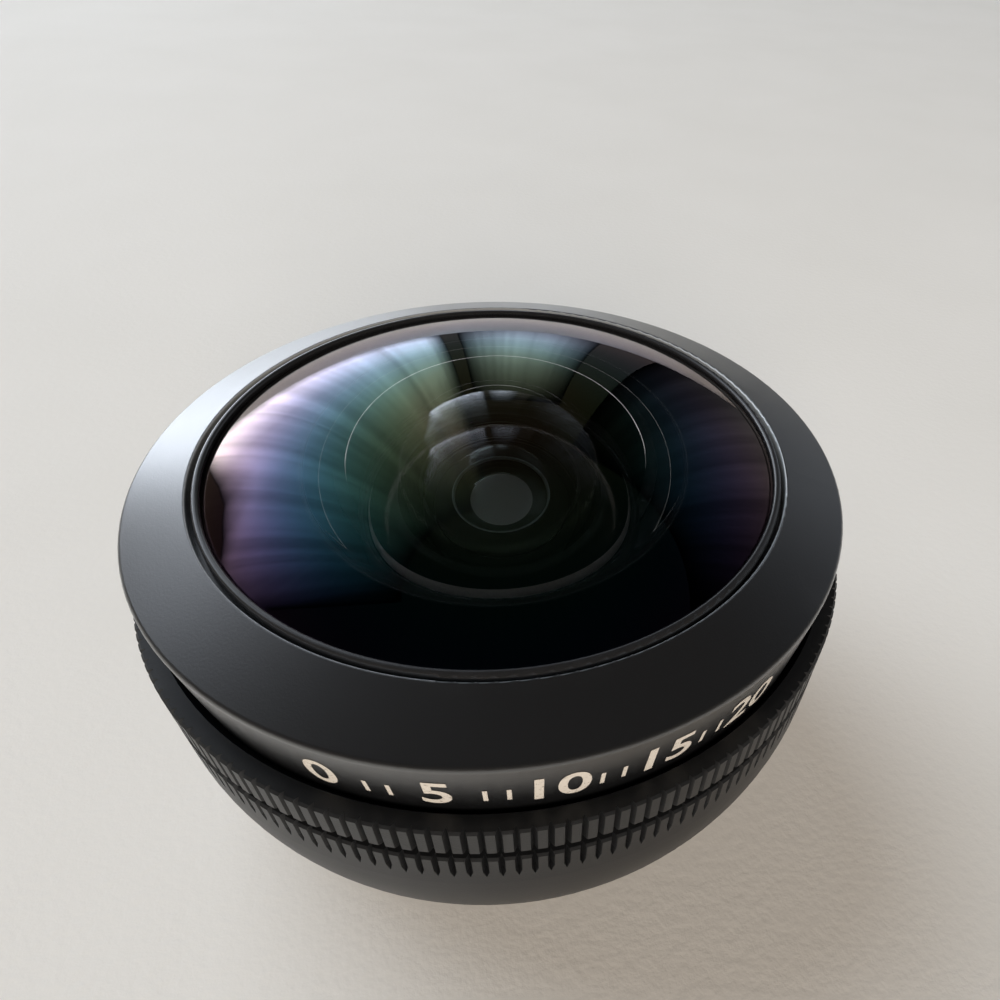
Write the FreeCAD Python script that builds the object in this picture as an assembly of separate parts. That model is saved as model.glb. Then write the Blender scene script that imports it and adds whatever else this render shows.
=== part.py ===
import FreeCAD, Part
import math
import os

os.makedirs("parts", exist_ok=True)

# Heights are measured up the optical axis from the rear face of the thread, radii from the axis.

# Front bezel
bezel_radius = 19.4
bezel_edge_round = 0.28
bezel_face_width = 3.43
bezel_face_rise = 1.24
bezel_lip_thickness = 0.7
bezel_lip_round = 0.1
band_height = 4.8
band_taper = 0.62
band_foot_round = 0.2
band_foot_gap = 0.12
band_groove_width = 0.42
band_groove_depth = 0.97
band_groove_draft = 0.1
sleeve_step = 0.88

# Grip teeth
grip_standout = 0.7
tooth_count = 170
tooth_land_share = 0.58
tooth_depth = 0.32
tooth_edge_bevel = 0.12
upper_teeth_height = 2.0
lower_groove_height = 1.27
groove_run_out = 0.55
cutter_spare = 0.2

# Bowl-shaped rear housing
bowl_height = 9.85
bowl_side_radius = 15.0
bowl_side_sweep = 24.0
bowl_corner_radius = 2.0
housing_floor = 1.8
pocket_step = 0.65
pocket_corner = 1.5
tube_wall = 1.65
tube_foot_wall = 0.85
tube_foot_height = 0.8

# Screw joint between the two halves
joint_shoulder = 4.6
joint_thread_pitch = 0.75
joint_thread_depth = 0.4
joint_thread_turns = 2
joint_stub_length = 3.6
joint_stub_wall = 2.9
stub_bevel = 0.5
seam_washer_thickness = 0.6
seam_washer_setback = 0.5
joint_ring_section = 0.42
joint_ring_height = 3.0

# Dome lens, gasket and seat
dome_surface_radius = 33.9
dome_apex_rise = 4.62
dome_centre_thickness = 1.35
dome_shoulder_width = 1.3
dome_shoulder_drop = 0.15
dome_rear_drop = 2.3
dome_hollow_rim = 9.55
dome_rim_bevel = 0.15
gasket_bead_width = 0.45
gasket_bead_rise = 1.25
gasket_bead_gap = 0.22
bead_round_share = 0.45
gasket_flange_reach = 0.4
gasket_flange_thickness = 0.3
seat_washer_thickness = 0.2
seat_washer_setback = 0.25

# Second lens
second_radius = 9.8
second_edge_thickness = 2.3
second_bevel_width = 0.9
second_bevel_height = 0.45
second_front_rise = 2.2
second_centre_thickness = 1.2
second_rear_land = 3.2
second_ledge_overlap = 2.7
second_ledge_thickness = 0.8
second_retainer_height = 0.7
second_retainer_standout = 1.0
second_retainer_overlap = 0.5

# Rear lens cell and the lenses in it
cell_radius = 8.0
cell_recess = 0.1
cell_edge_round = 0.15
third_bore_wall = 2.0
third_edge_thickness = 1.4
third_front_rise = 0.6
third_rear_rise = 0.3
third_seat_thickness = 0.6
third_retainer_width = 1.9
third_retainer_thickness = 0.5
stack_bore_wall = 2.6
stack_shoulder = 0.7
stop_thickness = 0.15
stop_hole_radius = 2.7
crown_edge_thickness = 0.8
crown_front_rise = 0.375
cement_rise = 0.6
flint_edge_thickness = 1.5
flint_rear_rise = 0.18
spacer_thickness = 1.0
spacer_wall = 0.6
rear_lens_edge = 1.0
rear_lens_front_rise = 0.6
rear_lens_rear_rise = 0.35
rear_ring_width = 0.9
rear_ring_thickness = 0.7
lock_ring_width = 1.1
lock_ring_thickness = 0.7
ring_edge_round = 0.08
ring_margin = 0.1
ring_slot_width = 1.2
ring_slot_depth = 0.3

# Rear mount
mount_thread_radius = 8.5
mount_thread_pitch = 0.75
mount_thread_length = 2.8
mount_thread_depth = 0.42
mount_thread_round = 0.25
mount_relief_height = 0.72
thread_mouth_share = 0.75
mount_wall = 1.9
mount_bore_round = 0.2
shoulder_undercut = 0.15
shoulder_undercut_margin = 0.1
adapter_flange_ledge = 1.6
adapter_flange_thickness = 1.4
adapter_edge_round = 0.3
adapter_boss_wall = 2.3
adapter_boss_length = 1.8
adapter_boss_round = 0.2

# Clearances
seat_gap = 0.05
screw_gap = 0.05
lock_gap = 0.1
assembly_gap = 0.03
free_gap = 0.3

# Radii that follow from the sizes above
grip_radius = bezel_radius + grip_standout
band_bottom_radius = bezel_radius - band_taper
sleeve_radius = band_bottom_radius - sleeve_step
bezel_inner_radius = bezel_radius - bezel_face_width
bead_outer = bezel_inner_radius - gasket_bead_gap
dome_visible_radius = bead_outer - gasket_bead_width
dome_edge_radius = dome_visible_radius + dome_shoulder_width
gasket_flange_radius = dome_edge_radius + gasket_flange_reach
dome_bore = dome_edge_radius + seat_gap
second_bore = second_radius + seat_gap
second_bevel_inner = second_radius - second_bevel_width
second_rear_rim = second_radius - second_rear_land
second_ledge_inner = second_radius - second_ledge_overlap
second_retainer_inner = second_radius - second_retainer_overlap
second_retainer_radius = second_radius + second_retainer_standout
retainer_bore = second_retainer_radius + screw_gap
joint_thread_radius = grip_radius - joint_shoulder
joint_stub_bore = joint_thread_radius - joint_stub_wall
joint_bore = joint_thread_radius + screw_gap
joint_ring_centre = joint_thread_radius - joint_ring_section
seam_washer_radius = grip_radius - seam_washer_setback
pocket_outer_radius = joint_bore - pocket_step
cell_bore = cell_radius + screw_gap
tube_outer_radius = cell_bore + tube_wall
third_radius = cell_radius - third_bore_wall
third_bore = third_radius + seat_gap
third_retainer_inner = third_radius - third_retainer_width
stack_radius = cell_radius - stack_bore_wall
stack_bore = stack_radius + seat_gap
third_seat_inner = stack_radius - stack_shoulder
crown_rim = stack_radius - spacer_wall - seat_gap
rear_ring_inner = stack_radius - rear_ring_width
lock_ring_inner = cell_radius - lock_ring_width
boss_inner = cell_radius + lock_gap
adapter_boss_radius = boss_inner + adapter_boss_wall
boss_bore = adapter_boss_radius + screw_gap
tube_foot_radius = boss_bore + tube_foot_wall
adapter_flange_radius = adapter_boss_radius + adapter_flange_ledge
mount_bore_radius = mount_thread_radius - mount_wall

# Heights that follow, from the rear up to the front
bowl_bottom = mount_thread_length + adapter_flange_thickness
boss_top = bowl_bottom + adapter_boss_length
bowl_top = bowl_bottom + bowl_height
washer_top = bowl_top + seam_washer_thickness
teeth_top = washer_top + upper_teeth_height
valley_bottom = teeth_top - band_groove_depth
band_bottom = valley_bottom + band_foot_gap
bezel_height = band_bottom + band_height
bezel_face_top = bezel_height + bezel_face_rise
sleeve_top = bezel_height - bezel_lip_thickness
stub_bottom = washer_top - joint_stub_length

# Heights of the lenses, from the front down to the rear
dome_apex = bezel_height + dome_apex_rise
dome_hollow_apex = dome_apex - dome_centre_thickness
dome_shoulder = bezel_height - dome_shoulder_drop
lip_underside = dome_shoulder + gasket_flange_thickness
dome_rear = bezel_height - dome_rear_drop
ledge_top = dome_rear - seat_washer_thickness
second_flange = ledge_top - second_retainer_height
second_rear = second_flange - second_edge_thickness
second_ledge_bottom = second_rear - second_ledge_thickness
tube_top = second_ledge_bottom - free_gap
cell_top = tube_top - cell_recess
third_front = cell_top - third_retainer_thickness
third_seat = third_front - third_edge_thickness
stop_seat = third_seat - third_seat_thickness
stop_bottom = stop_seat - stop_thickness
stop_spacer_bottom = stop_bottom - spacer_thickness
crown_bottom = stop_spacer_bottom - crown_edge_thickness
flint_bottom = crown_bottom - flint_edge_thickness
rear_spacer_bottom = flint_bottom - spacer_thickness
rear_lens_bottom = rear_spacer_bottom - rear_lens_edge
cell_bottom = rear_lens_bottom - rear_ring_thickness
lock_ring_bottom = cell_bottom - lock_ring_thickness


def point(radius, height):
    return FreeCAD.Vector(radius, 0, height)


def sagitta(surface_radius, edge_radius):
    return surface_radius - math.sqrt(surface_radius ** 2 - edge_radius ** 2)


def spun(section):
    return section.revolve(point(0, 0), FreeCAD.Vector(0, 0, 1), 360)


def half_section(corners):
    # each corner is a radius, a height and, where it is rounded, its rounding
    edges = []
    starts = []
    ends = []
    count = len(corners)
    for index in range(count):
        here = point(corners[index][0], corners[index][1])
        rounding = corners[index][2] if len(corners[index]) > 2 else 0
        if rounding == 0:
            starts.append(here)
            ends.append(here)
            edges.append(None)
            continue
        before = corners[index - 1]
        after = corners[(index + 1) % count]
        to_before = (point(before[0], before[1]) - here).normalize()
        to_after = (point(after[0], after[1]) - here).normalize()
        half_angle = to_before.getAngle(to_after) / 2
        reach = rounding / math.tan(half_angle)
        first = here + to_before * reach
        last = here + to_after * reach
        middle_line = (to_before + to_after).normalize()
        centre = here + middle_line * (rounding / math.sin(half_angle))
        middle = centre - middle_line * rounding
        starts.append(first)
        ends.append(last)
        edges.append(Part.Arc(first, middle, last).toShape())
    outline = []
    for index in range(count):
        if edges[index] is not None:
            outline.append(edges[index])
        following = starts[(index + 1) % count]
        if (following - ends[index]).Length > 1e-7:
            outline.append(Part.makeLine(ends[index], following))
    return Part.Face(Part.Wire(outline))


def turned(corners):
    return spun(half_section(corners))


def cap_arc(rim_radius, rim_height, rise):
    # meridian of a spherical surface from its rim to its pole; a negative rise sinks it
    ball = (rim_radius ** 2 + rise ** 2) / (2 * abs(rise))
    half_way = rim_radius / 2
    fall = sagitta(ball, half_way) * (1 if rise > 0 else -1)
    rim = point(rim_radius, rim_height)
    middle = point(half_way, rim_height + rise - fall)
    pole = point(0, rim_height + rise)
    return Part.Arc(rim, middle, pole).toShape()


def ground_lens(front_rim, front_height, front_rise, edge, rear_rim, rear_height, rear_rise):
    # the edge runs from the front rim to the rear rim as radius and height pairs
    outline = [cap_arc(front_rim, front_height, front_rise)]
    corner = point(front_rim, front_height)
    for radius, height in edge:
        following = point(radius, height)
        outline.append(Part.makeLine(corner, following))
        corner = following
    outline.append(Part.makeLine(corner, point(rear_rim, rear_height)))
    outline.append(cap_arc(rear_rim, rear_height, rear_rise))
    rear_pole = point(0, rear_height + rear_rise)
    outline.append(Part.makeLine(rear_pole, point(0, front_height + front_rise)))
    return spun(Part.Face(Part.Wire(Part.__sortEdges__(outline))))


def plain_ring(inner, outer, bottom, top, rounding=0):
    return turned([
        (inner, bottom, rounding),
        (outer, bottom, rounding),
        (outer, top, rounding),
        (inner, top, rounding),
    ])


def slotted(ring, outer, bottom):
    # a spanner slot across the rear face of a ring
    length = 2 * (outer + free_gap)
    corner = FreeCAD.Vector(-length / 2, -ring_slot_width / 2, bottom)
    return ring.cut(Part.makeBox(length, ring_slot_width, ring_slot_depth, corner))


def cut_thread(body, crest_radius, depth, pitch, below, finish):
    # triangular groove wound round the axis, from clear below the end face to inside a relief groove
    start = below - pitch
    path = Part.makeHelix(pitch, finish - start, crest_radius)
    path.translate(FreeCAD.Vector(0, 0, start))
    half_mouth = pitch * thread_mouth_share / 2
    outside = crest_radius + depth * cutter_spare
    root = point(crest_radius - depth, start)
    lower = point(outside, start - half_mouth)
    upper = point(outside, start + half_mouth)
    profile = Part.makePolygon([root, lower, upper, root])
    groove = Part.Wire(path.Edges).makePipeShell([profile], True, True)
    return body.cut(groove)


def ring_grooves(crest_radius, depth, pitch, foot, turns):
    # outline of a short thread drawn as closed V grooves, one above the other
    corners = []
    mouth = pitch * thread_mouth_share
    for turn in range(turns):
        start = foot + (turn + 1) * pitch - mouth
        corners.append((crest_radius, start))
        corners.append((crest_radius - depth, start + mouth / 2))
        corners.append((crest_radius, start + mouth))
    return corners


def around(radius, degrees, height):
    angle = math.radians(degrees)
    return FreeCAD.Vector(radius * math.cos(angle), radius * math.sin(angle), height)


def groove_cutter(centre, top, bottom, run_out):
    # V groove that keeps its depth and runs out to the surface over the last stretch
    half_mouth = 360.0 / tooth_count * (1 - tooth_land_share) / 2
    past = grip_radius + tooth_depth * cutter_spare
    widening = half_mouth * (1 + cutter_spare)
    root = grip_radius - tooth_depth
    run_start = bottom + run_out
    run_end = bottom - run_out * cutter_spare
    left_top = around(past, centre - widening, top)
    right_top = around(past, centre + widening, top)
    root_top = around(root, centre, top)
    left_run = around(past, centre - widening, run_start)
    right_run = around(past, centre + widening, run_start)
    root_run = around(root, centre, run_start)
    rings = [
        [left_top, right_top, root_top],
        [left_top, right_top, right_run, left_run],
        [left_top, root_top, root_run, left_run],
        [right_top, root_top, root_run, right_run],
    ]
    if run_out == 0:
        rings.append([left_run, right_run, root_run])
    else:
        tip = around(past, centre, run_end)
        rings.append([left_run, right_run, tip])
        rings.append([left_run, root_run, tip])
        rings.append([right_run, root_run, tip])
    faces = [Part.Face(Part.makePolygon(ring + [ring[0]])) for ring in rings]
    return Part.makeSolid(Part.makeShell(faces))


def cut_grip(body, top, bottom, run_out):
    tooth_angle = 360.0 / tooth_count
    cutters = []
    for tooth in range(tooth_count):
        cutters.append(groove_cutter((tooth + 0.5) * tooth_angle, top, bottom, run_out))
    return body.cut(Part.makeCompound(cutters))


def bowl_arc(centre_radius, centre_height, arc_radius, steep, shallow):
    # part of the bowl's outline between two slopes, given as angles from the vertical side
    places = []
    for angle in (steep, (steep + shallow) / 2, shallow):
        radius = centre_radius + arc_radius * math.cos(angle)
        places.append(point(radius, centre_height - arc_radius * math.sin(angle)))
    return Part.Arc(*places).toShape()


def save(node, shape):
    if not shape.isValid():
        print("not valid:", node)
    if len(shape.Solids) != 1:
        print("solids in", node, len(shape.Solids))
    shape.exportStep("parts/" + node + ".step")
    box = shape.BoundBox
    print(node, round(box.XLength, 2), round(box.ZMin, 2), round(box.ZMax, 2), round(shape.Volume, 1))


# Front bezel: conical face, rounded edge and the tapering side band
save("front_bezel", turned([
    (bezel_inner_radius, lip_underside),
    (gasket_flange_radius + assembly_gap, lip_underside),
    (gasket_flange_radius + assembly_gap, sleeve_top),
    (sleeve_radius + screw_gap, sleeve_top),
    (sleeve_radius + screw_gap, band_bottom),
    (band_bottom_radius, band_bottom, band_foot_round),
    (bezel_radius, bezel_height, bezel_edge_round),
    (bezel_inner_radius, bezel_face_top, bezel_lip_round),
]))

# Rubber gasket: flange under the bezel lip and the bead seen round the dome
bead_inner = dome_visible_radius + assembly_gap
bead_top = bezel_height + gasket_bead_rise
bead_round = gasket_bead_width * bead_round_share
save("dome_gasket", turned([
    (bead_inner, dome_shoulder),
    (gasket_flange_radius, dome_shoulder),
    (gasket_flange_radius, lip_underside),
    (bead_outer, lip_underside),
    (bead_outer, bead_top, bead_round),
    (bead_inner, bead_top, bead_round),
]))

# Dome lens: large outer sphere, small deep hollow behind
dome_rim_height = dome_apex - sagitta(dome_surface_radius, dome_visible_radius)
dome_edge = [
    (dome_visible_radius, dome_shoulder),
    (dome_edge_radius, dome_shoulder),
    (dome_edge_radius, dome_rear),
    (dome_hollow_rim + dome_rim_bevel, dome_rear),
]
hollow_rim_height = dome_rear + dome_rim_bevel
save("dome_lens", ground_lens(
    dome_visible_radius,
    dome_rim_height,
    dome_apex - dome_rim_height,
    dome_edge,
    dome_hollow_rim,
    hollow_rim_height,
    dome_hollow_apex - hollow_rim_height,
))

# Black washer that the dome rests on
seat_washer_inner = dome_hollow_rim + seat_washer_setback
save("dome_seat_washer", plain_ring(seat_washer_inner, dome_edge_radius - seat_gap, ledge_top, dome_rear))

# Front housing: sleeve for the bezel, upper grip teeth, lens seats and the threaded stub
front_housing = turned([
    (second_ledge_inner, second_ledge_bottom),
    (joint_stub_bore, second_ledge_bottom),
    (joint_stub_bore, stub_bottom),
    (joint_thread_radius - stub_bevel, stub_bottom),
    (joint_thread_radius, stub_bottom + stub_bevel),
    *ring_grooves(
        joint_thread_radius,
        joint_thread_depth,
        joint_thread_pitch,
        stub_bottom + stub_bevel,
        joint_thread_turns,
    ),
    (joint_thread_radius, washer_top),
    (grip_radius - tooth_edge_bevel, washer_top),
    (grip_radius, washer_top + tooth_edge_bevel),
    (grip_radius, teeth_top - tooth_edge_bevel),
    (grip_radius - tooth_edge_bevel, teeth_top),
    (band_bottom_radius + band_groove_width, teeth_top),
    (band_bottom_radius - band_groove_draft, valley_bottom),
    (sleeve_radius, valley_bottom),
    (sleeve_radius, sleeve_top - assembly_gap),
    (dome_bore, sleeve_top - assembly_gap),
    (dome_bore, ledge_top),
    (retainer_bore, ledge_top),
    (retainer_bore, second_flange),
    (second_bore, second_flange),
    (second_bore, second_rear),
    (second_ledge_inner, second_rear),
])
front_housing = cut_grip(front_housing, teeth_top + free_gap, washer_top - free_gap, 0)
ring_level = stub_bottom + joint_ring_height
front_housing = front_housing.cut(plain_ring(
    joint_ring_centre - joint_ring_section,
    joint_thread_radius + free_gap,
    ring_level - joint_ring_section,
    ring_level + joint_ring_section,
))
save("front_housing", front_housing)

# Rubber ring in the stub that steadies the screw joint
joint_ring = Part.makeTorus(joint_ring_centre, joint_ring_section)
joint_ring.translate(FreeCAD.Vector(0, 0, ring_level))
save("joint_o_ring", joint_ring)

# Second lens: bevelled meniscus that stands up into the hollow of the dome
bevel_top = second_flange + second_bevel_height
second_rear_apex = bevel_top + second_front_rise - second_centre_thickness
second_edge = [
    (second_retainer_inner - seat_gap, second_flange),
    (second_radius, second_flange),
    (second_radius, second_rear),
]
save("second_lens", ground_lens(
    second_bevel_inner,
    bevel_top,
    second_front_rise,
    second_edge,
    second_rear_rim,
    second_rear,
    second_rear_apex - second_rear,
))

# Screwed ring over the rim of the second lens
retainer_top = ledge_top - assembly_gap
save("second_lens_retainer", plain_ring(
    second_retainer_inner, second_retainer_radius, second_flange, retainer_top, ring_edge_round
))

# Thin washer in the dark seam between the halves
save("seam_washer", plain_ring(joint_bore, seam_washer_radius, bowl_top, washer_top))

# Rear housing: lower grip grooves, bowl, pocket and the tube for the lens cell
side_sweep = math.radians(bowl_side_sweep)
side_end_radius = grip_radius - bowl_side_radius * (1 - math.cos(side_sweep))
corner_centre_radius = side_end_radius - bowl_corner_radius * math.cos(side_sweep)
corner_centre_height = bowl_bottom + bowl_corner_radius
side_end_height = corner_centre_height - bowl_corner_radius * math.sin(side_sweep)
side_start_height = side_end_height + bowl_side_radius * math.sin(side_sweep)
side_centre_radius = grip_radius - bowl_side_radius
joint_floor = stub_bottom - free_gap
pocket_floor = bowl_bottom + housing_floor
foot_top = boss_top + tube_foot_height
inside = Part.makePolygon([
    point(grip_radius, side_start_height),
    point(grip_radius, bowl_top - tooth_edge_bevel),
    point(grip_radius - tooth_edge_bevel, bowl_top),
    point(joint_bore, bowl_top),
    point(joint_bore, joint_floor),
    point(pocket_outer_radius, joint_floor),
    point(pocket_outer_radius, pocket_floor + pocket_corner),
    point(pocket_outer_radius - pocket_corner, pocket_floor),
    point(tube_foot_radius, pocket_floor),
    point(tube_foot_radius, foot_top),
    point(tube_outer_radius, foot_top),
    point(tube_outer_radius, tube_top),
    point(cell_bore, tube_top),
    point(cell_bore, boss_top),
    point(boss_bore, boss_top),
    point(boss_bore, bowl_bottom),
    point(corner_centre_radius, bowl_bottom),
])
side = bowl_arc(side_centre_radius, side_start_height, bowl_side_radius, 0, side_sweep)
corner = bowl_arc(
    corner_centre_radius, corner_centre_height, bowl_corner_radius, side_sweep, math.pi / 2
)
bowl_outline = Part.__sortEdges__(inside.Edges + [side, corner])
rear_housing = spun(Part.Face(Part.Wire(bowl_outline)))
groove_bottom = bowl_top - lower_groove_height - groove_run_out
rear_housing = cut_grip(rear_housing, bowl_top + free_gap, groove_bottom, groove_run_out)
save("rear_housing", rear_housing)

# Rear lens cell with its two seats
save("rear_lens_cell", turned([
    (stack_bore, cell_bottom),
    (cell_radius, cell_bottom, cell_edge_round),
    (cell_radius, cell_top, cell_edge_round),
    (third_bore, cell_top),
    (third_bore, third_seat),
    (third_seat_inner, third_seat),
    (third_seat_inner, stop_seat),
    (stack_bore, stop_seat),
]))

# Third lens and the ring that holds it
save("third_lens", ground_lens(
    third_retainer_inner - ring_margin,
    third_front,
    third_front_rise,
    [(third_radius, third_front), (third_radius, third_seat)],
    third_seat_inner - ring_margin,
    third_seat,
    -third_rear_rise,
))
save("third_lens_retainer", plain_ring(
    third_retainer_inner, third_radius, third_front, cell_top, ring_edge_round
))

# Aperture stop and the spacer behind it
save("aperture_stop", plain_ring(stop_hole_radius, stack_radius, stop_bottom, stop_seat))
save("stop_spacer", plain_ring(stack_radius - spacer_wall, stack_radius, stop_spacer_bottom, stop_bottom))

# Cemented pair, each element its own piece
save("doublet_front_element", ground_lens(
    crown_rim,
    stop_spacer_bottom,
    crown_front_rise,
    [(stack_radius, stop_spacer_bottom)],
    stack_radius,
    crown_bottom,
    -cement_rise,
))
save("doublet_rear_element", ground_lens(
    stack_radius,
    crown_bottom,
    -cement_rise,
    [(stack_radius, flint_bottom)],
    crown_rim,
    flint_bottom,
    flint_rear_rise,
))

# Spacer, rear lens and the slotted ring that holds the stack
save("rear_spacer", plain_ring(stack_radius - spacer_wall, stack_radius, rear_spacer_bottom, flint_bottom))
save("rear_lens", ground_lens(
    crown_rim,
    rear_spacer_bottom,
    rear_lens_front_rise,
    [(stack_radius, rear_spacer_bottom), (stack_radius, rear_lens_bottom)],
    rear_ring_inner - ring_margin,
    rear_lens_bottom,
    -rear_lens_rear_rise,
))
rear_ring = plain_ring(rear_ring_inner, stack_radius, cell_bottom, rear_lens_bottom, ring_edge_round)
save("rear_retaining_ring", slotted(rear_ring, stack_radius, cell_bottom))

# Ring that locks the height of the lens cell
lock_ring = plain_ring(lock_ring_inner, cell_radius, lock_ring_bottom, cell_bottom, ring_edge_round)
save("cell_lock_ring", slotted(lock_ring, cell_radius, lock_ring_bottom))

# Rear adapter: flange against the bowl, boss up into it, thread for the phone clip
adapter_floor = mount_thread_length + adapter_flange_thickness / 2
relief_bottom = mount_thread_length - mount_relief_height
relief_radius = mount_thread_radius - mount_thread_depth - seat_gap
undercut_top = mount_thread_length + shoulder_undercut
undercut_radius = mount_thread_radius + shoulder_undercut_margin
adapter = turned([
    (mount_bore_radius, 0, mount_bore_round),
    (mount_thread_radius, 0, mount_thread_round),
    (mount_thread_radius, relief_bottom),
    (relief_radius, relief_bottom),
    (relief_radius, undercut_top),
    (undercut_radius, undercut_top),
    (undercut_radius, mount_thread_length),
    (adapter_flange_radius, mount_thread_length, adapter_edge_round),
    (adapter_flange_radius, bowl_bottom, adapter_edge_round),
    (adapter_boss_radius, bowl_bottom),
    (adapter_boss_radius, boss_top, adapter_boss_round),
    (boss_inner, boss_top),
    (boss_inner, adapter_floor),
    (mount_bore_radius, adapter_floor),
])
thread_finish = mount_thread_length - mount_relief_height / 2
adapter = cut_thread(
    adapter, mount_thread_radius, mount_thread_depth, mount_thread_pitch, 0, thread_finish
)
save("mount_adapter", adapter)
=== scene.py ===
import math

import bmesh
import bpy
from mathutils import Matrix, Vector


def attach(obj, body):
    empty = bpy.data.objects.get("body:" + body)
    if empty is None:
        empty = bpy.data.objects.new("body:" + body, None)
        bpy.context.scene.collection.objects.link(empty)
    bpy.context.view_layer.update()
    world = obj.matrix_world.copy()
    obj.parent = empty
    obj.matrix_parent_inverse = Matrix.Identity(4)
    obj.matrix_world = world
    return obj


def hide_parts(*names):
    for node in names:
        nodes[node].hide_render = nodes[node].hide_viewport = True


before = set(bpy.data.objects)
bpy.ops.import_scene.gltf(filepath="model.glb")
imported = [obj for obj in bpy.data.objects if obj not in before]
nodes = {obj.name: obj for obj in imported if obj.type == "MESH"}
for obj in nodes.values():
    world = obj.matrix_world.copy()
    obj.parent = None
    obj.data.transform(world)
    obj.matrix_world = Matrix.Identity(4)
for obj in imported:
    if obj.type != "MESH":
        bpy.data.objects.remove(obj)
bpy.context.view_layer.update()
mm = 0.001
print("frame loaded:", len(nodes), "nodes")


# Small helpers

def hexColour(text):
    # sRGB hex to the linear value that the shaders take
    channels = []
    for start in (0, 2, 4):
        value = int(text[start:start + 2], 16) / 255
        channels.append(value / 12.92 if value <= 0.04045 else ((value + 0.055) / 1.055) ** 2.4)
    return (*channels, 1.0)


def addNode(tree, kind, settings=None, links=None):
    # a setting goes to the input of that name, or else to the node itself
    node = tree.nodes.new(kind)
    for key, value in (settings or {}).items():
        if isinstance(key, int) or key in node.inputs:
            node.inputs[key].default_value = value
        else:
            setattr(node, key, value)
    for key, socket in (links or {}).items():
        tree.links.new(socket, node.inputs[key])
    return node


def newMaterial(name):
    material = bpy.data.materials.new(name)
    material.use_nodes = True
    material.node_tree.nodes.clear()
    return material, material.node_tree


def finishMaterial(tree, shader):
    addNode(tree, "ShaderNodeOutputMaterial", {}, {"Surface": shader})


def distanceOut(tree, place):
    # metres from the lens axis, with the height left out
    flat = addNode(tree, "ShaderNodeVectorMath", {"operation": "MULTIPLY", 1: (1, 1, 0)}, {0: place})
    outward = addNode(tree, "ShaderNodeVectorMath", {"operation": "LENGTH"}, {0: flat.outputs["Vector"]})
    return outward.outputs["Value"]


def dress(node, material):
    slots = nodes[node].data.materials
    if len(slots) == 0:
        slots.append(material)
    for index in range(len(slots)):
        slots[index] = material


def capPoints(rimRadius, rimHeight, rise, steps):
    # meridian of a spherical face from its rim to the axis
    ball = (rimRadius ** 2 + rise ** 2) / (2 * abs(rise))
    side = 1 if rise > 0 else -1
    points = []
    for step in range(steps + 1):
        radius = rimRadius * (1 - step / steps)
        drop = ball - math.sqrt(ball ** 2 - radius ** 2)
        points.append((radius, rimHeight + rise - side * drop))
    return points


def turnedPiece(name, profile, slices, materials, bands):
    # the profile is radius and height in mm, from axis to axis; each stretch of it has its own material
    creaseDegrees = 28
    onAxis = 1e-6
    mesh = bmesh.new()
    rings = []
    for radius, height in profile:
        if radius < onAxis:
            rings.append([mesh.verts.new((0, 0, height * mm))])
            continue
        ring = []
        for step in range(slices):
            angle = 2 * math.pi * step / slices
            place = (radius * mm * math.cos(angle), radius * mm * math.sin(angle), height * mm)
            ring.append(mesh.verts.new(place))
        rings.append(ring)
    for lower, upper, band in zip(rings, rings[1:], bands):
        for step in range(slices):
            after = (step + 1) % slices
            if len(lower) == 1:
                corners = [lower[0], upper[after], upper[step]]
            elif len(upper) == 1:
                corners = [lower[step], lower[after], upper[0]]
            else:
                corners = [lower[step], lower[after], upper[after], upper[step]]
            face = mesh.faces.new(corners)
            face.smooth = True
            face.material_index = band
    bmesh.ops.recalc_face_normals(mesh, faces=mesh.faces)
    data = bpy.data.meshes.new(name)
    mesh.to_mesh(data)
    mesh.free()
    for material in materials:
        data.materials.append(material)
    data.set_sharp_from_angle(angle=math.radians(creaseDegrees))
    piece = bpy.data.objects.new(name, data)
    bpy.context.scene.collection.objects.link(piece)
    return piece


# Table

table = {
    "size": 8.0,  # metres, so that its edge is out of the picture
    "colour": "e6e5e3",
    "shade": "dfdedb",
    "pitMm": 0.7,
    "pitDeepMm": 0.08,
    "dentMm": 26.0,
    "dentDeepMm": 0.6,
    "roughness": 0.72,
    "ior": 1.4,
}


def laminateMaterial():
    # melamine laminate, pressed against a stippled plate: pale, matt, with a fine orange-peel grain
    material, tree = newMaterial("pressedLaminate")
    place = addNode(tree, "ShaderNodeTexCoord").outputs["Object"]
    grain = addNode(tree, "ShaderNodeTexNoise",
                    {"Scale": 1000 / table["pitMm"], "Detail": 3.0, "Roughness": 0.55}, {"Vector": place})
    dents = addNode(tree, "ShaderNodeTexNoise",
                    {"Scale": 1000 / table["dentMm"], "Detail": 2.0, "Roughness": 0.5}, {"Vector": place})
    blend = addNode(tree, "ShaderNodeMix",
                    {"data_type": "RGBA", "A": hexColour(table["colour"]), "B": hexColour(table["shade"])},
                    {"Factor": dents.outputs["Fac"]})
    low = addNode(tree, "ShaderNodeBump", {"Strength": 0.25, "Distance": table["dentDeepMm"] * mm},
                  {"Height": dents.outputs["Fac"]})
    fine = addNode(tree, "ShaderNodeBump", {"Strength": 0.5, "Distance": table["pitDeepMm"] * mm},
                   {"Height": grain.outputs["Fac"], "Normal": low.outputs["Normal"]})
    shader = addNode(tree, "ShaderNodeBsdfPrincipled", {"Roughness": table["roughness"], "IOR": table["ior"]},
                     {"Base Color": blend.outputs["Result"], "Normal": fine.outputs["Normal"]})
    finishMaterial(tree, shader.outputs["BSDF"])
    return material


tableMesh = bmesh.new()
bmesh.ops.create_grid(tableMesh, x_segments=2, y_segments=2, size=table["size"] / 2)
tableData = bpy.data.meshes.new("table")
tableMesh.to_mesh(tableData)
tableMesh.free()
tableData.materials.append(laminateMaterial())
tableTop = bpy.data.objects.new("table", tableData)
bpy.context.scene.collection.objects.link(tableTop)
print("table laid")


# Metal

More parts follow.
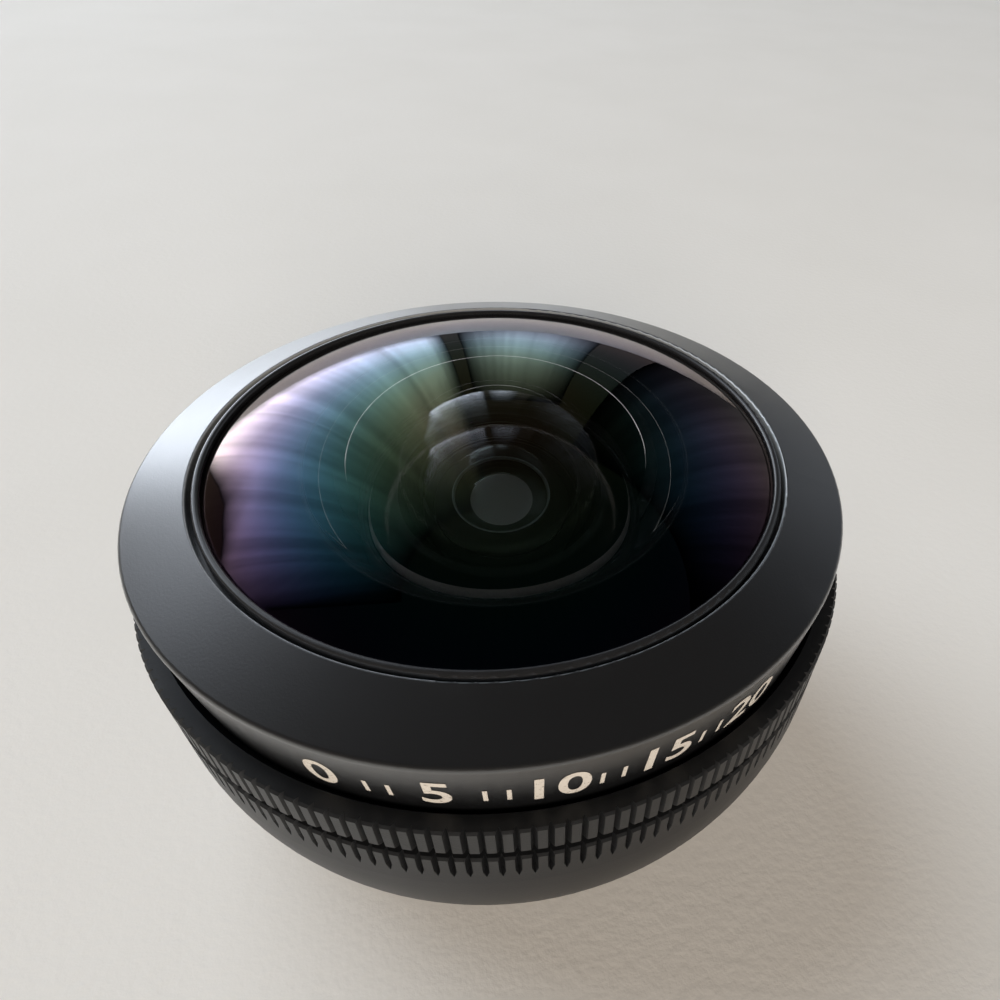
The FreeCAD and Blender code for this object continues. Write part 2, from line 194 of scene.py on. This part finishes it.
metal = {
    "black": "151618",
    # the edge colour below is wear on the edges, and a painted highlight on them too
    "worn": "303234",
    # pale colour within a given radius; on the bezel it is a painted highlight along the inner edge
    "turned": "9fa3a6",
    "grainMm": 0.11,  # blasting leaves about 0.04 mm, drawn coarser so that it shows
    "grainDeepMm": 0.016,
    "rubMm": 4.0,
    "edgeMarkFrom": 0.53,  # pointiness of an edge where the lighter edge begins, and where it is full: wear, and a painted highlight
    "edgeMarkFull": 0.62,
    "smoothest": -0.01,  # how far the rubbing moves the roughness down and up
    "roughest": 0.02,
    "sealRoughness": 0.38,
    "sealIor": 1.6,
    # the bezel's pale band within 16.03 mm of the axis is a painted highlight along its inner edge
    "bezel": {"edgeWearAndHighlight": 0.35, "roughness": 0.32, "ior": 1.8, "sealing": 1.0, "paleWithinMm": 16.03},
    "grip": {"edgeWearAndHighlight": 0.9, "roughness": 0.42, "ior": 1.36, "sealing": 0.1, "paleWithinMm": 0.0},
}
paint = {
    "dark": "0d0e0e",
    "light": "171818",
    "speckMm": 0.154,  # spray leaves about 0.05 mm, drawn coarser so that it shows
    "speckDeepMm": 0.01,
    "roughness": 0.6,
    "ior": 1.45,
    "lipMm": 4.25,
}


def paleWithinRadius(tree, place, coated, paleWithinMm):
    # pale and dull within the given radius of the axis; on the bezel this narrow pale band is a painted
    # highlight along its inner edge
    split = addNode(tree, "ShaderNodeMath", {"operation": "LESS_THAN", 1: paleWithinMm * mm},
                  {0: distanceOut(tree, place)})
    paleBand = addNode(tree, "ShaderNodeMix", {"data_type": "RGBA", "B": hexColour(metal["turned"])},
                   {"Factor": split.outputs[0], "A": coated})
    return paleBand.outputs["Result"]


def anodisedMaterial(name, finish):
    # aluminium, bead-blasted, anodised black and sealed: dark, satin, with a fine even grain,
    # and a narrow pale band within the given radius, which on the bezel is a painted highlight
    material, tree = newMaterial(name)
    place = addNode(tree, "ShaderNodeTexCoord").outputs["Object"]
    grain = addNode(tree, "ShaderNodeTexNoise",
                    {"Scale": 1000 / metal["grainMm"], "Detail": 2.0, "Roughness": 0.6}, {"Vector": place})
    rub = addNode(tree, "ShaderNodeTexNoise",
                  {"Scale": 1000 / metal["rubMm"], "Detail": 4.0, "Roughness": 0.6}, {"Vector": place})
    # edges lighter by pointiness, broken up by the rub noise: wear, and a painted highlight
    edge = addNode(tree, "ShaderNodeNewGeometry").outputs["Pointiness"]
    edgeBand = addNode(tree, "ShaderNodeMapRange",
                       {"From Min": metal["edgeMarkFrom"], "From Max": metal["edgeMarkFull"],
                        "To Max": finish["edgeWearAndHighlight"]}, {"Value": edge})
    wornAndHighlitEdge = addNode(tree, "ShaderNodeMath", {"operation": "MULTIPLY"},
                     {0: edgeBand.outputs["Result"], 1: rub.outputs["Fac"]})
    tint = addNode(tree, "ShaderNodeMix",
                   {"data_type": "RGBA", "A": hexColour(metal["black"]), "B": hexColour(metal["worn"])},
                   {"Factor": wornAndHighlitEdge.outputs[0]})
    gloss = addNode(tree, "ShaderNodeMapRange",
                    {"From Min": 0.3, "From Max": 0.7, "To Min": finish["roughness"] + metal["smoothest"],
                     "To Max": finish["roughness"] + metal["roughest"]}, {"Value": rub.outputs["Fac"]})
    bump = addNode(tree, "ShaderNodeBump", {"Strength": 0.5, "Distance": metal["grainDeepMm"] * mm},
                   {"Height": grain.outputs["Fac"]})
    shader = addNode(tree, "ShaderNodeBsdfPrincipled",
                     {"Metallic": 0.0, "IOR": finish["ior"], "Coat Weight": finish["sealing"],
                      "Coat Roughness": metal["sealRoughness"], "Coat IOR": metal["sealIor"]},
                     {"Base Color": paleWithinRadius(tree, place, tint.outputs["Result"], finish["paleWithinMm"]),
                      "Roughness": gloss.outputs["Result"], "Normal": bump.outputs["Normal"]})
    finishMaterial(tree, shader.outputs["BSDF"])
    return material


def mattPaintMaterial(name, paleWithinMm):
    # optical black paint sprayed on aluminium: deep, dry, almost without gloss,
    # and pale within the given radius
    material, tree = newMaterial(name)
    place = addNode(tree, "ShaderNodeTexCoord").outputs["Object"]
    speck = addNode(tree, "ShaderNodeTexNoise", {"Scale": 1000 / paint["speckMm"], "Detail": 2.0},
                    {"Vector": place})
    bump = addNode(tree, "ShaderNodeBump", {"Strength": 0.3, "Distance": paint["speckDeepMm"] * mm},
                   {"Height": speck.outputs["Fac"]})
    tone = addNode(tree, "ShaderNodeMix",
                   {"data_type": "RGBA", "A": hexColour(paint["dark"]), "B": hexColour(paint["light"])},
                   {"Factor": speck.outputs["Fac"]})
    shader = addNode(tree, "ShaderNodeBsdfPrincipled", {"Roughness": paint["roughness"], "IOR": paint["ior"]},
                     {"Base Color": paleWithinRadius(tree, place, tone.outputs["Result"], paleWithinMm),
                      "Normal": bump.outputs["Normal"]})
    finishMaterial(tree, shader.outputs["BSDF"])
    return material


bezelMetal = anodisedMaterial("blastedAnodisedBezel", metal["bezel"])
gripMetal = anodisedMaterial("blastedAnodisedGrip", metal["grip"])
opticalBlack = mattPaintMaterial("sprayedOpticalBlack", 0.0)
lippedBlack = mattPaintMaterial("sprayedBlackPaleLip", paint["lipMm"])

dress("front_bezel", bezelMetal)
for name in ("front_housing", "rear_housing", "mount_adapter"):
    dress(name, gripMetal)
for name in ("rear_lens_cell", "second_lens_retainer", "stop_spacer",
             "rear_spacer", "rear_retaining_ring", "cell_lock_ring"):
    dress(name, opticalBlack)
dress("third_lens_retainer", lippedBlack)
print("metal dressed")


# Rubber and film

nitrile = {
    "dark": "1a1b1c",
    "light": "26272a",
    "flowMm": 0.714,
    "flowDeepMm": 0.02,
    "roughness": 0.24,
    "ior": 1.9,
}
polyester = {
    "dark": "08080a",
    "light": "121214",
    "streakMm": 0.333,
    "roughness": 0.5,
    "ior": 1.5,
}


def rubberMaterial():
    # nitrile rubber from a polished mould: black with a soft sheen and faint flow marks
    material, tree = newMaterial("mouldedNitrileRubber")
    place = addNode(tree, "ShaderNodeTexCoord").outputs["Object"]
    flow = addNode(tree, "ShaderNodeTexNoise", {"Scale": 1000 / nitrile["flowMm"], "Detail": 3.0},
                   {"Vector": place})
    bump = addNode(tree, "ShaderNodeBump", {"Strength": 0.2, "Distance": nitrile["flowDeepMm"] * mm},
                   {"Height": flow.outputs["Fac"]})
    tone = addNode(tree, "ShaderNodeMix",
                   {"data_type": "RGBA", "A": hexColour(nitrile["dark"]), "B": hexColour(nitrile["light"])},
                   {"Factor": flow.outputs["Fac"]})
    shader = addNode(tree, "ShaderNodeBsdfPrincipled",
                     {"Roughness": nitrile["roughness"], "IOR": nitrile["ior"]},
                     {"Base Color": tone.outputs["Result"], "Normal": bump.outputs["Normal"]})
    finishMaterial(tree, shader.outputs["BSDF"])
    return material


def filmMaterial():
    # polyester film, dyed black and calendered: smooth and dull
    material, tree = newMaterial("calenderedPolyesterFilm")
    place = addNode(tree, "ShaderNodeTexCoord").outputs["Object"]
    streak = addNode(tree, "ShaderNodeTexNoise", {"Scale": 1000 / polyester["streakMm"], "Detail": 2.0},
                     {"Vector": place})
    tone = addNode(tree, "ShaderNodeMix",
                   {"data_type": "RGBA", "A": hexColour(polyester["dark"]),
                    "B": hexColour(polyester["light"])}, {"Factor": streak.outputs["Fac"]})
    shader = addNode(tree, "ShaderNodeBsdfPrincipled",
                     {"Roughness": polyester["roughness"], "IOR": polyester["ior"]},
                     {"Base Color": tone.outputs["Result"]})
    finishMaterial(tree, shader.outputs["BSDF"])
    return material


rubber = rubberMaterial()
film = filmMaterial()
for name in ("joint_o_ring", "dome_gasket"):
    dress(name, rubber)
for name in ("seam_washer", "dome_seat_washer", "aperture_stop"):
    dress(name, film)
print("rubber and film dressed")


# Glass

glass = {
    "crownIor": 1.517,
    "denseIor": 1.62,
    "coatIor": 1.47,
    "coatMidNm": 462.0,
    "coatRimNm": 306.0,
    "coatEvenShare": 0.25,  # share of the rim's radius with the coat at its full thickness
    "domeSmearMm": 3.85,
    "domeHaze": 0.012,
    "innerSmearMm": 3.33,
    "innerHaze": 0.02,
    "greenBloom": "4a5e52",
    "violetBloom": "241f29",
    "domeTint": "ffffff",
    "crownTint": "eaf5ee",
    "flintTint": "f6fbee",
    "filmTint": "cfc4c9",
    "filmClear": 0.35,
    "filmGlow": 0.02,
    "gritMm": 0.111,  # grinding leaves about 0.02 mm, drawn coarser so that it shows
    "gritDeepMm": 0.01,
    "groundRoughness": 0.7,
    "groundIor": 1.5,
    "bevelTones": ("b9bdbb", "d2d5d3"),
    "edgeTones": ("d6dad8", "f0f2f1"),
    "edgeGlow": 0.5,
    "inkTones": ("1c1d1d", "2e3030"),
}

# Two lenses, sizes and heights in mm from the rear face of the mount

dome = {
    "apex": 25.22,
    "frontBall": 33.9,
    "visible": 15.3,
    "edge": 16.6,
    "shoulder": 20.45,
    "rear": 18.3,
    "hollowRim": 9.55,
    "rimBevel": 0.15,
    "bareEdge": 0.14,
    "hollowApex": 23.87,
    "slices": 256,
}
second = {
    "radius": 9.8,
    "flange": 17.4,
    "flangeInner": 9.25,
    "bevelInner": 8.9,
    "bevelTop": 17.85,
    "frontRise": 2.2,
    "rear": 15.1,
    "rearRim": 6.6,
    "rearApex": 18.85,
    "slices": 192,
}


def coatedGlassMaterial(rimMm):
    # dense optical crown, ground, polished and coated in vacuum: clear, with the coating's violet and
    # green gloss, which is thinner towards a steep rim
    material, tree = newMaterial("polishedDenseCrownFront")
    place = addNode(tree, "ShaderNodeTexCoord").outputs["Object"]
    smear = addNode(tree, "ShaderNodeTexNoise",
                    {"Scale": 1000 / glass["domeSmearMm"], "Detail": 3.0, "Roughness": 0.6},
                    {"Vector": place})
    haze = addNode(tree, "ShaderNodeMapRange",
                   {"From Min": 0.5, "From Max": 0.8, "To Min": 0.0, "To Max": glass["domeHaze"]},
                   {"Value": smear.outputs["Fac"]})
    coat = addNode(tree, "ShaderNodeMapRange",
                   {"From Min": glass["coatEvenShare"] * rimMm * mm, "From Max": rimMm * mm,
                    "To Min": glass["coatMidNm"], "To Max": glass["coatRimNm"]},
                   {"Value": distanceOut(tree, place)})
    shader = addNode(tree, "ShaderNodeBsdfPrincipled",
                     {"Base Color": hexColour(glass["domeTint"]), "IOR": glass["denseIor"],
                      "Transmission Weight": 1.0, "Thin Film IOR": glass["coatIor"]},
                     {"Roughness": haze.outputs["Result"], "Thin Film Thickness": coat.outputs["Result"]})
    finishMaterial(tree, shader.outputs["BSDF"])
    return material


def bloomedGlassMaterial(name, tint, ior, bloom, clear=1.0, glow=0.0):
    # optical glass with a quarter-wave bloom on it: clear, with very little gloss, and that faintly
    # coloured; a clear value below one leaves the grey film that settles inside a lens, and the glow
    # stands for the table's light that comes up through the rear of the lens and lights that film
    material, tree = newMaterial(name)
    place = addNode(tree, "ShaderNodeTexCoord").outputs["Object"]
    smear = addNode(tree, "ShaderNodeTexNoise",
                    {"Scale": 1000 / glass["innerSmearMm"], "Detail": 3.0, "Roughness": 0.6},
                    {"Vector": place})
    haze = addNode(tree, "ShaderNodeMapRange",
                   {"From Min": 0.5, "From Max": 0.8, "To Min": 0.0, "To Max": glass["innerHaze"]},
                   {"Value": smear.outputs["Fac"]})
    shader = addNode(tree, "ShaderNodeBsdfPrincipled",
                     {"Base Color": hexColour(tint), "IOR": ior, "Transmission Weight": clear,
                      "Specular Tint": hexColour(bloom), "Emission Color": hexColour(tint),
                      "Emission Strength": glow},
                     {"Roughness": haze.outputs["Result"]})
    finishMaterial(tree, shader.outputs["BSDF"])
    return material


def groundGlassMaterial(name, tones, glow=0.0):
    # the same glass left ground: frosted, pale grey where light catches it, or darker where ink has
    # soaked in; an unpainted edge gathers the light that runs inside the glass, which the glow stands for
    low, high = tones
    material, tree = newMaterial(name)
    place = addNode(tree, "ShaderNodeTexCoord").outputs["Object"]
    grit = addNode(tree, "ShaderNodeTexNoise", {"Scale": 1000 / glass["gritMm"], "Detail": 2.0},
                   {"Vector": place})
    bump = addNode(tree, "ShaderNodeBump", {"Strength": 0.5, "Distance": glass["gritDeepMm"] * mm},
                   {"Height": grit.outputs["Fac"]})
    tone = addNode(tree, "ShaderNodeMix", {"data_type": "RGBA", "A": hexColour(low), "B": hexColour(high)},
                   {"Factor": grit.outputs["Fac"]})
    shader = addNode(tree, "ShaderNodeBsdfPrincipled",
                     {"Roughness": glass["groundRoughness"], "IOR": glass["groundIor"],
                      "Emission Color": hexColour(high), "Emission Strength": glow},
                     {"Base Color": tone.outputs["Result"], "Normal": bump.outputs["Normal"]})
    finishMaterial(tree, shader.outputs["BSDF"])
    return material


domeGlass = coatedGlassMaterial(dome["visible"])
hollowGlass = bloomedGlassMaterial("bloomedDenseCrown", glass["domeTint"], glass["denseIor"],
                                   glass["greenBloom"])
innerGlass = bloomedGlassMaterial("bloomedCrownGlass", glass["crownTint"], glass["crownIor"],
                                  glass["violetBloom"])
hazedGlass = bloomedGlassMaterial("hazedCrownGlass", glass["filmTint"], glass["crownIor"],
                                  glass["greenBloom"], glass["filmClear"], glass["filmGlow"])
flintGlass = bloomedGlassMaterial("bloomedFlintGlass", glass["flintTint"], glass["denseIor"],
                                  glass["greenBloom"])
groundGlass = groundGlassMaterial("groundGlassBevel", glass["bevelTones"])
bareEdge = groundGlassMaterial("groundGlassEdge", glass["edgeTones"], glass["edgeGlow"])
inkedGlass = groundGlassMaterial("inkedGroundGlass", glass["inkTones"])


def domeLens():
    # the dome again, in the sizes of its solid, so that each face has its own finish
    faceSteps = 72
    hollowSteps = 64
    frontRim = dome["apex"] - (dome["frontBall"] - math.sqrt(dome["frontBall"] ** 2 - dome["visible"] ** 2))
    front = capPoints(dome["visible"], frontRim, dome["apex"] - frontRim, faceSteps)
    hollowRim = dome["rear"] + dome["rimBevel"]
    hollow = capPoints(dome["hollowRim"], hollowRim, dome["hollowApex"] - hollowRim, hollowSteps)
    hollow.reverse()
    side = [
        (dome["hollowRim"] + dome["rimBevel"], dome["rear"]),
        (dome["edge"] - dome["bareEdge"], dome["rear"]),
        (dome["edge"], dome["rear"]),
        (dome["edge"], dome["shoulder"]),
        (dome["visible"], dome["shoulder"]),
    ]
    polished, painted, paleBand, bloomed, inked = range(5)
    bands = [bloomed] * hollowSteps + [inked, painted, paleBand, painted, painted, painted]
    bands += [polished] * faceSteps
    materials = [domeGlass, opticalBlack, bareEdge, hollowGlass, inkedGlass]
    return turnedPiece("domeGlass", hollow + side + front, dome["slices"], materials, bands)


def secondLens():
    # the second lens again, in the sizes of its solid, with its front bevel ground and its edge painted
    faceSteps = 48
    front = capPoints(second["bevelInner"], second["bevelTop"], second["frontRise"], faceSteps)
    rear = capPoints(second["rearRim"], second["rear"], second["rearApex"] - second["rear"], faceSteps)
    rear.reverse()
    side = [
        (second["radius"], second["rear"]),
        (second["radius"], second["flange"]),
        (second["flangeInner"], second["flange"]),
    ]
    bloomed, ground, painted = range(3)
    bands = [bloomed] * faceSteps + [painted, painted, painted, ground] + [bloomed] * faceSteps
    materials = [innerGlass, groundGlass, opticalBlack]
    return turnedPiece("secondLensGlass", rear + side + front, second["slices"], materials, bands)


domePiece = domeLens()
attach(domePiece, "front_half")
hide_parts("dome_lens")

secondPiece = secondLens()
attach(secondPiece, "front_half")
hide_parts("second_lens")

for name in ("third_lens", "rear_lens"):
    dress(name, innerGlass)
dress("doublet_front_element", hazedGlass)
dress("doublet_rear_element", flintGlass)
print("lenses turned and coated")


# Figures on the side band

scaleMarks = {
    "figures": ["0", "5", "10", "15", "20"],
    "fromDegrees": -14.0,
    "toDegrees": 46.0,
    "figureMm": 2.1,
    "figureShare": 0.69,  # a figure's height as a share of the font's size
    "boldMm": 0.05,
    "figureLow": 17.25,
    "sliceMm": 0.25,
    "slicesEachSide": 12,
    "tickMm": 0.2,
    "tickLow": 17.5,
    "tickTall": 1.1,
    "tickShares": (0.4, 0.6),
    "proud": 0.02,
    "bandRadius": 19.0,
    "bandTop": (19.4, 20.6),
    "bandFoot": (18.78, 15.8),
    "enamel": "cdc8c0",
    "wornEnamel": "8a857d",
    "pitMm": 0.192,  # real pits are about 0.05 mm, drawn coarser so that they show
    "pitDeepMm": 0.02,
    "enamelRoughness": 0.55,
    "enamelIor": 1.5,
}
degreesPerMm = math.degrees(1 / scaleMarks["bandRadius"])


def enamelMaterial():
    # epoxy enamel wiped into engraved figures: warm off-white, slightly pitted
    material, tree = newMaterial("wipedEpoxyEnamel")
    place = addNode(tree, "ShaderNodeTexCoord").outputs["Object"]
    pits = addNode(tree, "ShaderNodeTexNoise",
                   {"Scale": 1000 / scaleMarks["pitMm"], "Detail": 3.0, "Roughness": 0.7}, {"Vector": place})
    worn = addNode(tree, "ShaderNodeMapRange", {"From Min": 0.58, "From Max": 0.7},
                   {"Value": pits.outputs["Fac"]})
    tone = addNode(tree, "ShaderNodeMix",
                   {"data_type": "RGBA", "A": hexColour(scaleMarks["enamel"]),
                    "B": hexColour(scaleMarks["wornEnamel"])}, {"Factor": worn.outputs["Result"]})
    bump = addNode(tree, "ShaderNodeBump", {"Strength": 0.4, "Distance": scaleMarks["pitDeepMm"] * mm},
                   {"Height": pits.outputs["Fac"]})
    shader = addNode(tree, "ShaderNodeBsdfPrincipled",
                     {"Roughness": scaleMarks["enamelRoughness"], "IOR": scaleMarks["enamelIor"]},
                     {"Base Color": tone.outputs["Result"], "Normal": bump.outputs["Normal"]})
    finishMaterial(tree, shader.outputs["BSDF"])
    return material


def ontoBand(across, up):
    # a flat place, across in degrees round the axis from the front and up in mm, laid on the sloping band
    topRadius, topHeight = scaleMarks["bandTop"]
    footRadius, footHeight = scaleMarks["bandFoot"]
    share = (up - footHeight) / (topHeight - footHeight)
    radius = footRadius + (topRadius - footRadius) * share + scaleMarks["proud"]
    angle = math.radians(across - 90)
    return Vector((radius * math.cos(angle), radius * math.sin(angle), up)) * mm


def figureOutline(text):
    curve = bpy.data.curves.new("figure", "FONT")
    curve.body = text
    curve.size = scaleMarks["figureMm"] / scaleMarks["figureShare"]
    curve.offset = scaleMarks["boldMm"]
    curve.align_x = "CENTER"
    curve.resolution_u = 6
    holder = bpy.data.objects.new("figure", curve)
    bpy.context.scene.collection.objects.link(holder)
    bpy.context.view_layer.update()
    flat = bpy.data.meshes.new_from_object(holder)
    bpy.data.objects.remove(holder)
    return flat


def bentFigure(text, centre):
    # upright cuts let the flat figure bend with the band
    figure = bmesh.new()
    figure.from_mesh(figureOutline(text))
    reach = scaleMarks["slicesEachSide"]
    for split in range(-reach, reach + 1):
        geometry = figure.verts[:] + figure.edges[:] + figure.faces[:]
        bmesh.ops.bisect_plane(figure, geom=geometry, plane_co=(split * scaleMarks["sliceMm"], 0, 0),
                               plane_no=(1, 0, 0), dist=1e-6)
    for vert in figure.verts:
        vert.co = ontoBand(centre + vert.co.x * degreesPerMm, scaleMarks["figureLow"] + vert.co.y)
    bent = bpy.data.meshes.new("figure")
    figure.to_mesh(bent)
    figure.free()
    return bent


def addTick(marks, middle):
    half = scaleMarks["tickMm"] / 2 * degreesPerMm
    corners = []
    for across, up in ((-half, 0), (half, 0), (half, 1), (-half, 1)):
        place = ontoBand(middle + across, scaleMarks["tickLow"] + up * scaleMarks["tickTall"])
        corners.append(marks.verts.new(place))
    marks.faces.new(corners)


def enamelFigures():
    marks = bmesh.new()
    gaps = len(scaleMarks["figures"]) - 1
    step = (scaleMarks["toDegrees"] - scaleMarks["fromDegrees"]) / gaps
    for index, text in enumerate(scaleMarks["figures"]):
        centre = scaleMarks["fromDegrees"] + step * index
        marks.from_mesh(bentFigure(text, centre))
        if index < gaps:
            for share in scaleMarks["tickShares"]:
                addTick(marks, centre + step * share)
    for face in marks.faces:
        face.smooth = False
    data = bpy.data.meshes.new("bandFigures")
    marks.to_mesh(data)
    marks.free()
    data.materials.append(enamelMaterial())
    piece = bpy.data.objects.new("bandFigures", data)
    bpy.context.scene.collection.objects.link(piece)
    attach(piece, "front_half")


enamelFigures()
print("figures laid on the band")


# Camera, as fitted to the photograph

view = {
    "placeMm": (6.714, -33.668, 47.244),
    "downDegrees": 45.428,
    "rollDegrees": 4.566,
    "lens": 27.0,
    "sensor": 36.0,
    "shiftX": -0.1098,
    "shiftY": 0.0644,
    "nearest": 0.002,
    "farthest": 10.0,
}
down = math.radians(view["downDegrees"])
roll = math.radians(view["rollDegrees"])
ahead = Vector((0, math.cos(down), -math.sin(down)))
levelRight = Vector((1, 0, 0))
levelUp = Vector((0, math.sin(down), math.cos(down)))
cameraRight = levelRight * math.cos(roll) + levelUp * math.sin(roll)
cameraUp = levelUp * math.cos(roll) - levelRight * math.sin(roll)
cameraData = bpy.data.cameras.new("camera")
cameraData.lens = view["lens"]
cameraData.sensor_width = view["sensor"]
cameraData.shift_x = view["shiftX"]
cameraData.shift_y = view["shiftY"]
cameraData.clip_start = view["nearest"]
cameraData.clip_end = view["farthest"]
camera = bpy.data.objects.new("camera", cameraData)
turn = Matrix((cameraRight, cameraUp, -ahead)).transposed().to_4x4()
camera.matrix_world = Matrix.Translation(Vector(view["placeMm"]) * mm) @ turn
bpy.context.scene.collection.objects.link(camera)
bpy.context.scene.camera = camera


# Light: a tall sheer curtain behind on the left, a pale strip of wall beside it, a dim wall on the right,
# two soft lamps that don't show in reflections or through the glass, and a dim warm room.
# A sheet's right, left and top are degrees round and above the object. Its left edge and its glow go by
# the height in degrees, and across is a share of the glow from the right edge (0) to the left (1). Fade
# is the share of the width over which it dies away on the left at its foot, and what its top adds to that.

light = {
    "sheetRadius": 2.8,  # metres
    "sheetRows": 68,
    "sheetColumns": 40,
    "sheetStrength": 5.2,
    "sheetColour": "e9f1fc",
    "foldsPerTurn": 90.0,
    "foldDim": 0.72,
    "foldBright": 1.3,
    "sheets": {
        "curtain": {
            "right": 107.5,
            "left": [(0, 141), (8, 145), (15, 149), (20, 153), (25, 161), (29, 173), (35, 179), (68, 188)],
            "top": 68.0,
            "glow": [(0, 0.6), (3, 1.7), (7, 1.6), (13, 1.0), (24, 0.75), (38, 0.4), (52, 0.16), (68, 0.0)],
            "across": [(0, 0.0), (0.06, 0.42), (0.35, 0.45), (0.65, 0.75), (0.8, 0.95), (1.0, 1.0)],
            "fade": (0.04, 0.5),
        },
        "wallStrip": {
            "right": 87.5,
            "left": [(0, 105.5)],
            "top": 36.0,
            "glow": [(0, 0.2), (6, 0.42), (12, 0.4), (22, 0.2), (36, 0.0)],
            "across": [(0, 0.0), (0.3, 0.8), (1.0, 1.0)],
            "fade": (0.3, 0.0),
        },
        "rightWall": {
            "right": 10.0,
            "left": [(0, 80.0)],
            "top": 50.0,
            "glow": [(0, 0.06), (20, 0.06), (50, 0.0)],
            "across": [(0, 0.0), (0.4, 1.0), (1.0, 1.0)],
            "fade": (0.4, 0.0),
        },
    },
    "lamps": {
        "softLeft": {"place": (-1.4, 1.0, 1.5), "size": 2.4, "power": 35.0, "colour": "f2faff"},
        "softFront": {"place": (0.25, -1.8, 0.85), "size": 1.6, "power": 45.0, "colour": "fff1e1"},
    },
    "room": "fff2e4",
    "roomLow": 0.14,
    "roomHigh": 0.03,
    "roomHighAt": 0.82,  # sine of the height where the room is darkest
}


def between(points, height):
    # value at a height on a line through points of height and value
    for (lowHeight, low), (highHeight, high) in zip(points, points[1:]):
        if height <= highHeight:
            return low + (high - low) * (height - lowHeight) / (highHeight - lowHeight)
    return points[-1][1]


def voileMaterial():
    # sheer polyester voile with daylight behind: brightest low down, with fine upright folds
    material, tree = newMaterial("sheerPolyesterVoile")
    place = addNode(tree, "ShaderNodeTexCoord").outputs["Object"]
    flat = addNode(tree, "ShaderNodeVectorMath", {"operation": "MULTIPLY", 1: (1, 1, 0)}, {0: place})
    around = addNode(tree, "ShaderNodeVectorMath", {"operation": "NORMALIZE"}, {0: flat.outputs["Vector"]})
    folds = addNode(tree, "ShaderNodeTexNoise",
                    {"Scale": light["foldsPerTurn"] / math.tau, "Detail": 3.0, "Roughness": 0.6},
                    {"Vector": around.outputs["Vector"]})
    depth = addNode(tree, "ShaderNodeMapRange",
                    {"From Min": 0.38, "From Max": 0.66, "To Min": light["foldDim"] * light["sheetStrength"],
                     "To Max": light["foldBright"] * light["sheetStrength"]}, {"Value": folds.outputs["Fac"]})
    glow = addNode(tree, "ShaderNodeAttribute", {"attribute_name": "glow"})
    strength = addNode(tree, "ShaderNodeMath", {"operation": "MULTIPLY"},
                       {0: depth.outputs["Result"], 1: glow.outputs["Fac"]})
    shader = addNode(tree, "ShaderNodeEmission", {"Color": hexColour(light["sheetColour"])},
                     {"Strength": strength.outputs[0]})
    finishMaterial(tree, shader.outputs["Emission"])
    return material


def hungSheet(name, sheetLook, material):
    # a sheet on a wide ball round the object
    rows = light["sheetRows"]
    columns = light["sheetColumns"]
    fadeLow, fadeGain = sheetLook["fade"]
    mesh = bmesh.new()
    layer = mesh.verts.layers.float.new("glow")
    grid = []
    for row in range(rows + 1):
        height = sheetLook["top"] * row / rows
        rise = math.radians(height)
        line = []
        for column in range(columns + 1):
            share = column / columns
            leftEdge = between(sheetLook["left"], height)
            angle = math.radians(sheetLook["right"] * (1 - share) + leftEdge * share)
            level = math.cos(rise)
            place = Vector((level * math.cos(angle), level * math.sin(angle), math.sin(rise)))
            vert = mesh.verts.new(place * light["sheetRadius"])
            leftFade = min(1.0, (1 - share) / (fadeLow + fadeGain * row / rows))
            vert[layer] = between(sheetLook["glow"], height) * between(sheetLook["across"], share) * leftFade
            line.append(vert)
        grid.append(line)
    for lower, upper in zip(grid, grid[1:]):
        for column in range(columns):
            mesh.faces.new([lower[column], lower[column + 1], upper[column + 1], upper[column]])
    data = bpy.data.meshes.new(name)
    mesh.to_mesh(data)
    mesh.free()
    data.materials.append(material)
    sheet = bpy.data.objects.new(name, data)
    bpy.context.scene.collection.objects.link(sheet)
    sheet.visible_camera = False


voile = voileMaterial()  # the two walls are hung with it too, dimmer
for name, sheetLook in light["sheets"].items():
    hungSheet(name, sheetLook, voile)

for name, lamp in light["lamps"].items():
    lampData = bpy.data.lights.new(name, "AREA")
    lampData.shape = "DISK"
    lampData.size = lamp["size"]
    lampData.energy = lamp["power"]
    lampData.color = hexColour(lamp["colour"])[:3]
    lampObject = bpy.data.objects.new(name, lampData)
    lampObject.location = lamp["place"]
    lampObject.rotation_euler = (-Vector(lamp["place"])).to_track_quat("-Z", "Y").to_euler()
    lampObject.visible_glossy = False
    lampObject.visible_transmission = False
    bpy.context.scene.collection.objects.link(lampObject)

world = bpy.data.worlds.new("room")
world.use_nodes = True
bpy.context.scene.world = world
background = world.node_tree.nodes["Background"]
upward = addNode(world.node_tree, "ShaderNodeTexCoord").outputs["Generated"]
rise = addNode(world.node_tree, "ShaderNodeSeparateXYZ", {}, {"Vector": upward}).outputs["Z"]
roomFade = addNode(world.node_tree, "ShaderNodeMapRange",
                   {"From Min": 0.0, "From Max": light["roomHighAt"], "To Min": light["roomLow"],
                    "To Max": light["roomHigh"]}, {"Value": rise})
background.inputs["Color"].default_value = hexColour(light["room"])
world.node_tree.links.new(roomFade.outputs["Result"], background.inputs["Strength"])
bpy.context.scene.view_settings.view_transform = "Standard"
print("camera and light placed")
